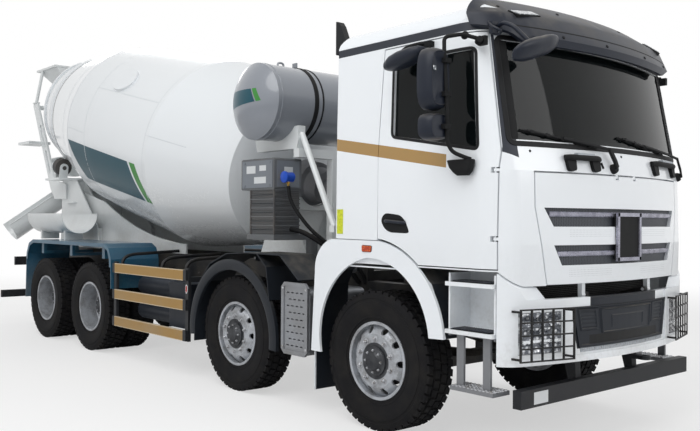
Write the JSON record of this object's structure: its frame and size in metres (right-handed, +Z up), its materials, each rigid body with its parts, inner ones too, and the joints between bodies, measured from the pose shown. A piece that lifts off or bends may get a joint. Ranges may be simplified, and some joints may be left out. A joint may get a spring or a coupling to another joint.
{
  "type": "concrete mixer truck",
  "caption": "Forward-control truck with a steered pair and a driven pair of axles, rotating concrete drum, water tank, filling hopper and swivelling discharge chute.",
  "frame": {"origin": "on the ground, below the middle of the overall length and width", "axes": "+X forward, +Y to the driver's side (left), +Z up"},
  "size_m": [9.91, 3.12, 4.0254],
  "materials": {
    "cab_white": "glossy",
    "cast_metal": "rough",
    "chassis_black": "satin",
    "dark_metal": "satin",
    "dark_plastic": "matt",
    "drum_white": "glossy",
    "fender_blue": "satin",
    "guard_gold": "satin",
    "guard_metal": "satin",
    "lamp_plastic": "clear",
    "mixer_white": "satin",
    "rim_silver": "satin",
    "seat_fabric": "woven",
    "silver_metal": "dull",
    "steel": "worn",
    "tank_grey": "satin",
    "tank_metal": "dull",
    "tyre_rubber": "matt",
    "window_glass": "tinted"
  },
  "bodies": {
    "chassis": {"frame_rails": "chassis_black", "drivetrain": "cast_metal", "axles": "chassis_black", "leaf_springs": "chassis_black", "bumper": "cab_white", "lamps": "lamp_plastic", "lamp_guards": "guard_metal", "underrun_bars": "guard_metal", "front_fenders": "dark_plastic", "rear_fenders": "fender_blue", "cab_steps": "dark_plastic", "exhaust_box": "silver_metal", "side_guards": "guard_gold", "tanks_and_boxes": "tank_metal", "mixer_subframe": "chassis_black", "drum_gearbox": "cast_metal", "drum_pedestals": "mixer_white", "water_tank": "tank_grey", "tank_stand": "chassis_black", "cooler_unit": "dark_metal", "hopper": "mixer_white", "hopper_frame": "mixer_white", "fixed_chutes": "mixer_white"},
    "cab": {"cab_shell": "cab_white", "windscreen": "window_glass", "roof_visor": "dark_plastic", "cab_interior": "seat_fabric", "air_intake": "dark_plastic"},
    "left_door": {"door_left": "cab_white", "door_glass_left": "window_glass", "mirrors_left": "dark_plastic"},
    "right_door": {"door_right": "cab_white", "door_glass_right": "window_glass", "mirrors_right": "dark_plastic"},
    "front_lid": {"front_panel": "cab_white"},
    "drum_body": {"drum": "drum_white"},
    "swivel_yoke": {"chute_swivel": "mixer_white"},
    "discharge_trough": {"swing_chute": "mixer_white"},
    "ring_roller_left": {"roller_left": "steel"},
    "wheel_1_left": {"tyre_1_left": "tyre_rubber", "rim_1_left": "rim_silver"},
    "steering_knuckle_1_left": {"knuckle_1_left": "cast_metal"},
    "wheel_2_left": {"tyre_2_left": "tyre_rubber", "rim_2_left": "rim_silver"},
    "steering_knuckle_2_left": {"knuckle_2_left": "cast_metal"},
    "wheel_3_left": {"tyres_3_left": "tyre_rubber", "rims_3_left": "rim_silver"},
    "wheel_4_left": {"tyres_4_left": "tyre_rubber", "rims_4_left": "rim_silver"},
    "ring_roller_right": {"roller_right": "steel"},
    "wheel_1_right": {"tyre_1_right": "tyre_rubber", "rim_1_right": "rim_silver"},
    "steering_knuckle_1_right": {"knuckle_1_right": "cast_metal"},
    "wheel_2_right": {"tyre_2_right": "tyre_rubber", "rim_2_right": "rim_silver"},
    "steering_knuckle_2_right": {"knuckle_2_right": "cast_metal"},
    "wheel_3_right": {"tyres_3_right": "tyre_rubber", "rims_3_right": "rim_silver"},
    "wheel_4_right": {"tyres_4_right": "tyre_rubber", "rims_4_right": "rim_silver"}
  },
  "joints": [
    {"name": "steer_1_left", "type": "hinge", "parent": "chassis", "child": "steering_knuckle_1_left", "pos_m": [3.545, 0.93, 0.535], "axis": [0, 0, 1], "range_deg": [-36, 36]},
    {"name": "roll_1_left", "type": "hinge", "parent": "steering_knuckle_1_left", "child": "wheel_1_left", "pos_m": [3.545, 1.018, 0.535], "axis": [0, 1, 0], "continuous": true},
    {"name": "steer_2_left", "type": "hinge", "parent": "chassis", "child": "steering_knuckle_2_left", "pos_m": [1.695, 0.93, 0.535], "axis": [0, 0, 1], "range_deg": [-25.3, 25.3]},
    {"name": "roll_2_left", "type": "hinge", "parent": "steering_knuckle_2_left", "child": "wheel_2_left", "pos_m": [1.695, 1.018, 0.535], "axis": [0, 1, 0], "continuous": true},
    {"name": "roll_3_left", "type": "hinge", "parent": "chassis", "child": "wheel_3_left", "pos_m": [-1.305, 0.915, 0.535], "axis": [0, 1, 0], "continuous": true},
    {"name": "roll_4_left", "type": "hinge", "parent": "chassis", "child": "wheel_4_left", "pos_m": [-2.655, 0.915, 0.535], "axis": [0, 1, 0], "continuous": true},
    {"name": "steer_1_right", "type": "hinge", "parent": "chassis", "child": "steering_knuckle_1_right", "pos_m": [3.545, -0.93, 0.535], "axis": [0, 0, 1], "range_deg": [-36, 36]},
    {"name": "roll_1_right", "type": "hinge", "parent": "steering_knuckle_1_right", "child": "wheel_1_right", "pos_m": [3.545, -1.018, 0.535], "axis": [0, 1, 0], "continuous": true},
    {"name": "steer_2_right", "type": "hinge", "parent": "chassis", "child": "steering_knuckle_2_right", "pos_m": [1.695, -0.93, 0.535], "axis": [0, 0, 1], "range_deg": [-25.3, 25.3]},
    {"name": "roll_2_right", "type": "hinge", "parent": "steering_knuckle_2_right", "child": "wheel_2_right", "pos_m": [1.695, -1.018, 0.535], "axis": [0, 1, 0], "continuous": true},
    {"name": "roll_3_right", "type": "hinge", "parent": "chassis", "child": "wheel_3_right", "pos_m": [-1.305, -0.915, 0.535], "axis": [0, 1, 0], "continuous": true},
    {"name": "roll_4_right", "type": "hinge", "parent": "chassis", "child": "wheel_4_right", "pos_m": [-2.655, -0.915, 0.535], "axis": [0, 1, 0], "continuous": true},
    {"name": "cab_tilt", "type": "hinge", "parent": "chassis", "child": "cab", "pos_m": [4.845, 0, 1.1], "axis": [0, 1, 0], "range_deg": [0, 48]},
    {"name": "left_door_hinge", "type": "hinge", "parent": "cab", "child": "left_door", "pos_m": [4.673, 1.192, 1.7], "axis": [0, 0, 1], "range_deg": [-70, 0]},
    {"name": "right_door_hinge", "type": "hinge", "parent": "cab", "child": "right_door", "pos_m": [4.673, -1.192, 1.7], "axis": [0, 0, 1], "range_deg": [0, 70]},
    {"name": "front_lid_hinge", "type": "hinge", "parent": "cab", "child": "front_lid", "pos_m": [4.91, 0, 1.922], "axis": [0, -1, 0], "range_deg": [0, 75]},
    {"name": "drum_spin", "type": "hinge", "parent": "chassis", "child": "drum_body", "pos_m": [1.037, 0, 2.093], "axis": [-0.9726, 0, 0.2326], "continuous": true},
    {"name": "roller_spin_left", "type": "hinge", "parent": "chassis", "child": "ring_roller_left", "pos_m": [-3.52967, 0.62219, 2.36633], "axis": [-0.9726, 0, 0.2326], "continuous": true},
    {"name": "roller_spin_right", "type": "hinge", "parent": "chassis", "child": "ring_roller_right", "pos_m": [-3.52967, -0.62219, 2.36633], "axis": [-0.9726, 0, 0.2326], "continuous": true},
    {"name": "chute_swing", "type": "hinge", "parent": "chassis", "child": "swivel_yoke", "pos_m": [-4.555, 0, 1.64], "axis": [0, 0, 1], "range_deg": [-164, 8]},
    {"name": "chute_tilt", "type": "hinge", "parent": "swivel_yoke", "child": "discharge_trough", "pos_m": [-4.555, 0, 2.15], "axis": [-0.9903, 0.1392, 0], "range_deg": [-15, 30]}
  ],
  "couplings": [
    {"joint": "steer_2_left", "follows": "steer_1_left", "ratio": 0.7},
    {"joint": "steer_1_right", "follows": "steer_1_left", "ratio": 1},
    {"joint": "steer_2_right", "follows": "steer_1_left", "ratio": 0.7},
    {"joint": "roller_spin_left", "follows": "drum_spin", "ratio": -7.08},
    {"joint": "roller_spin_right", "follows": "drum_spin", "ratio": -7.08}
  ]
}
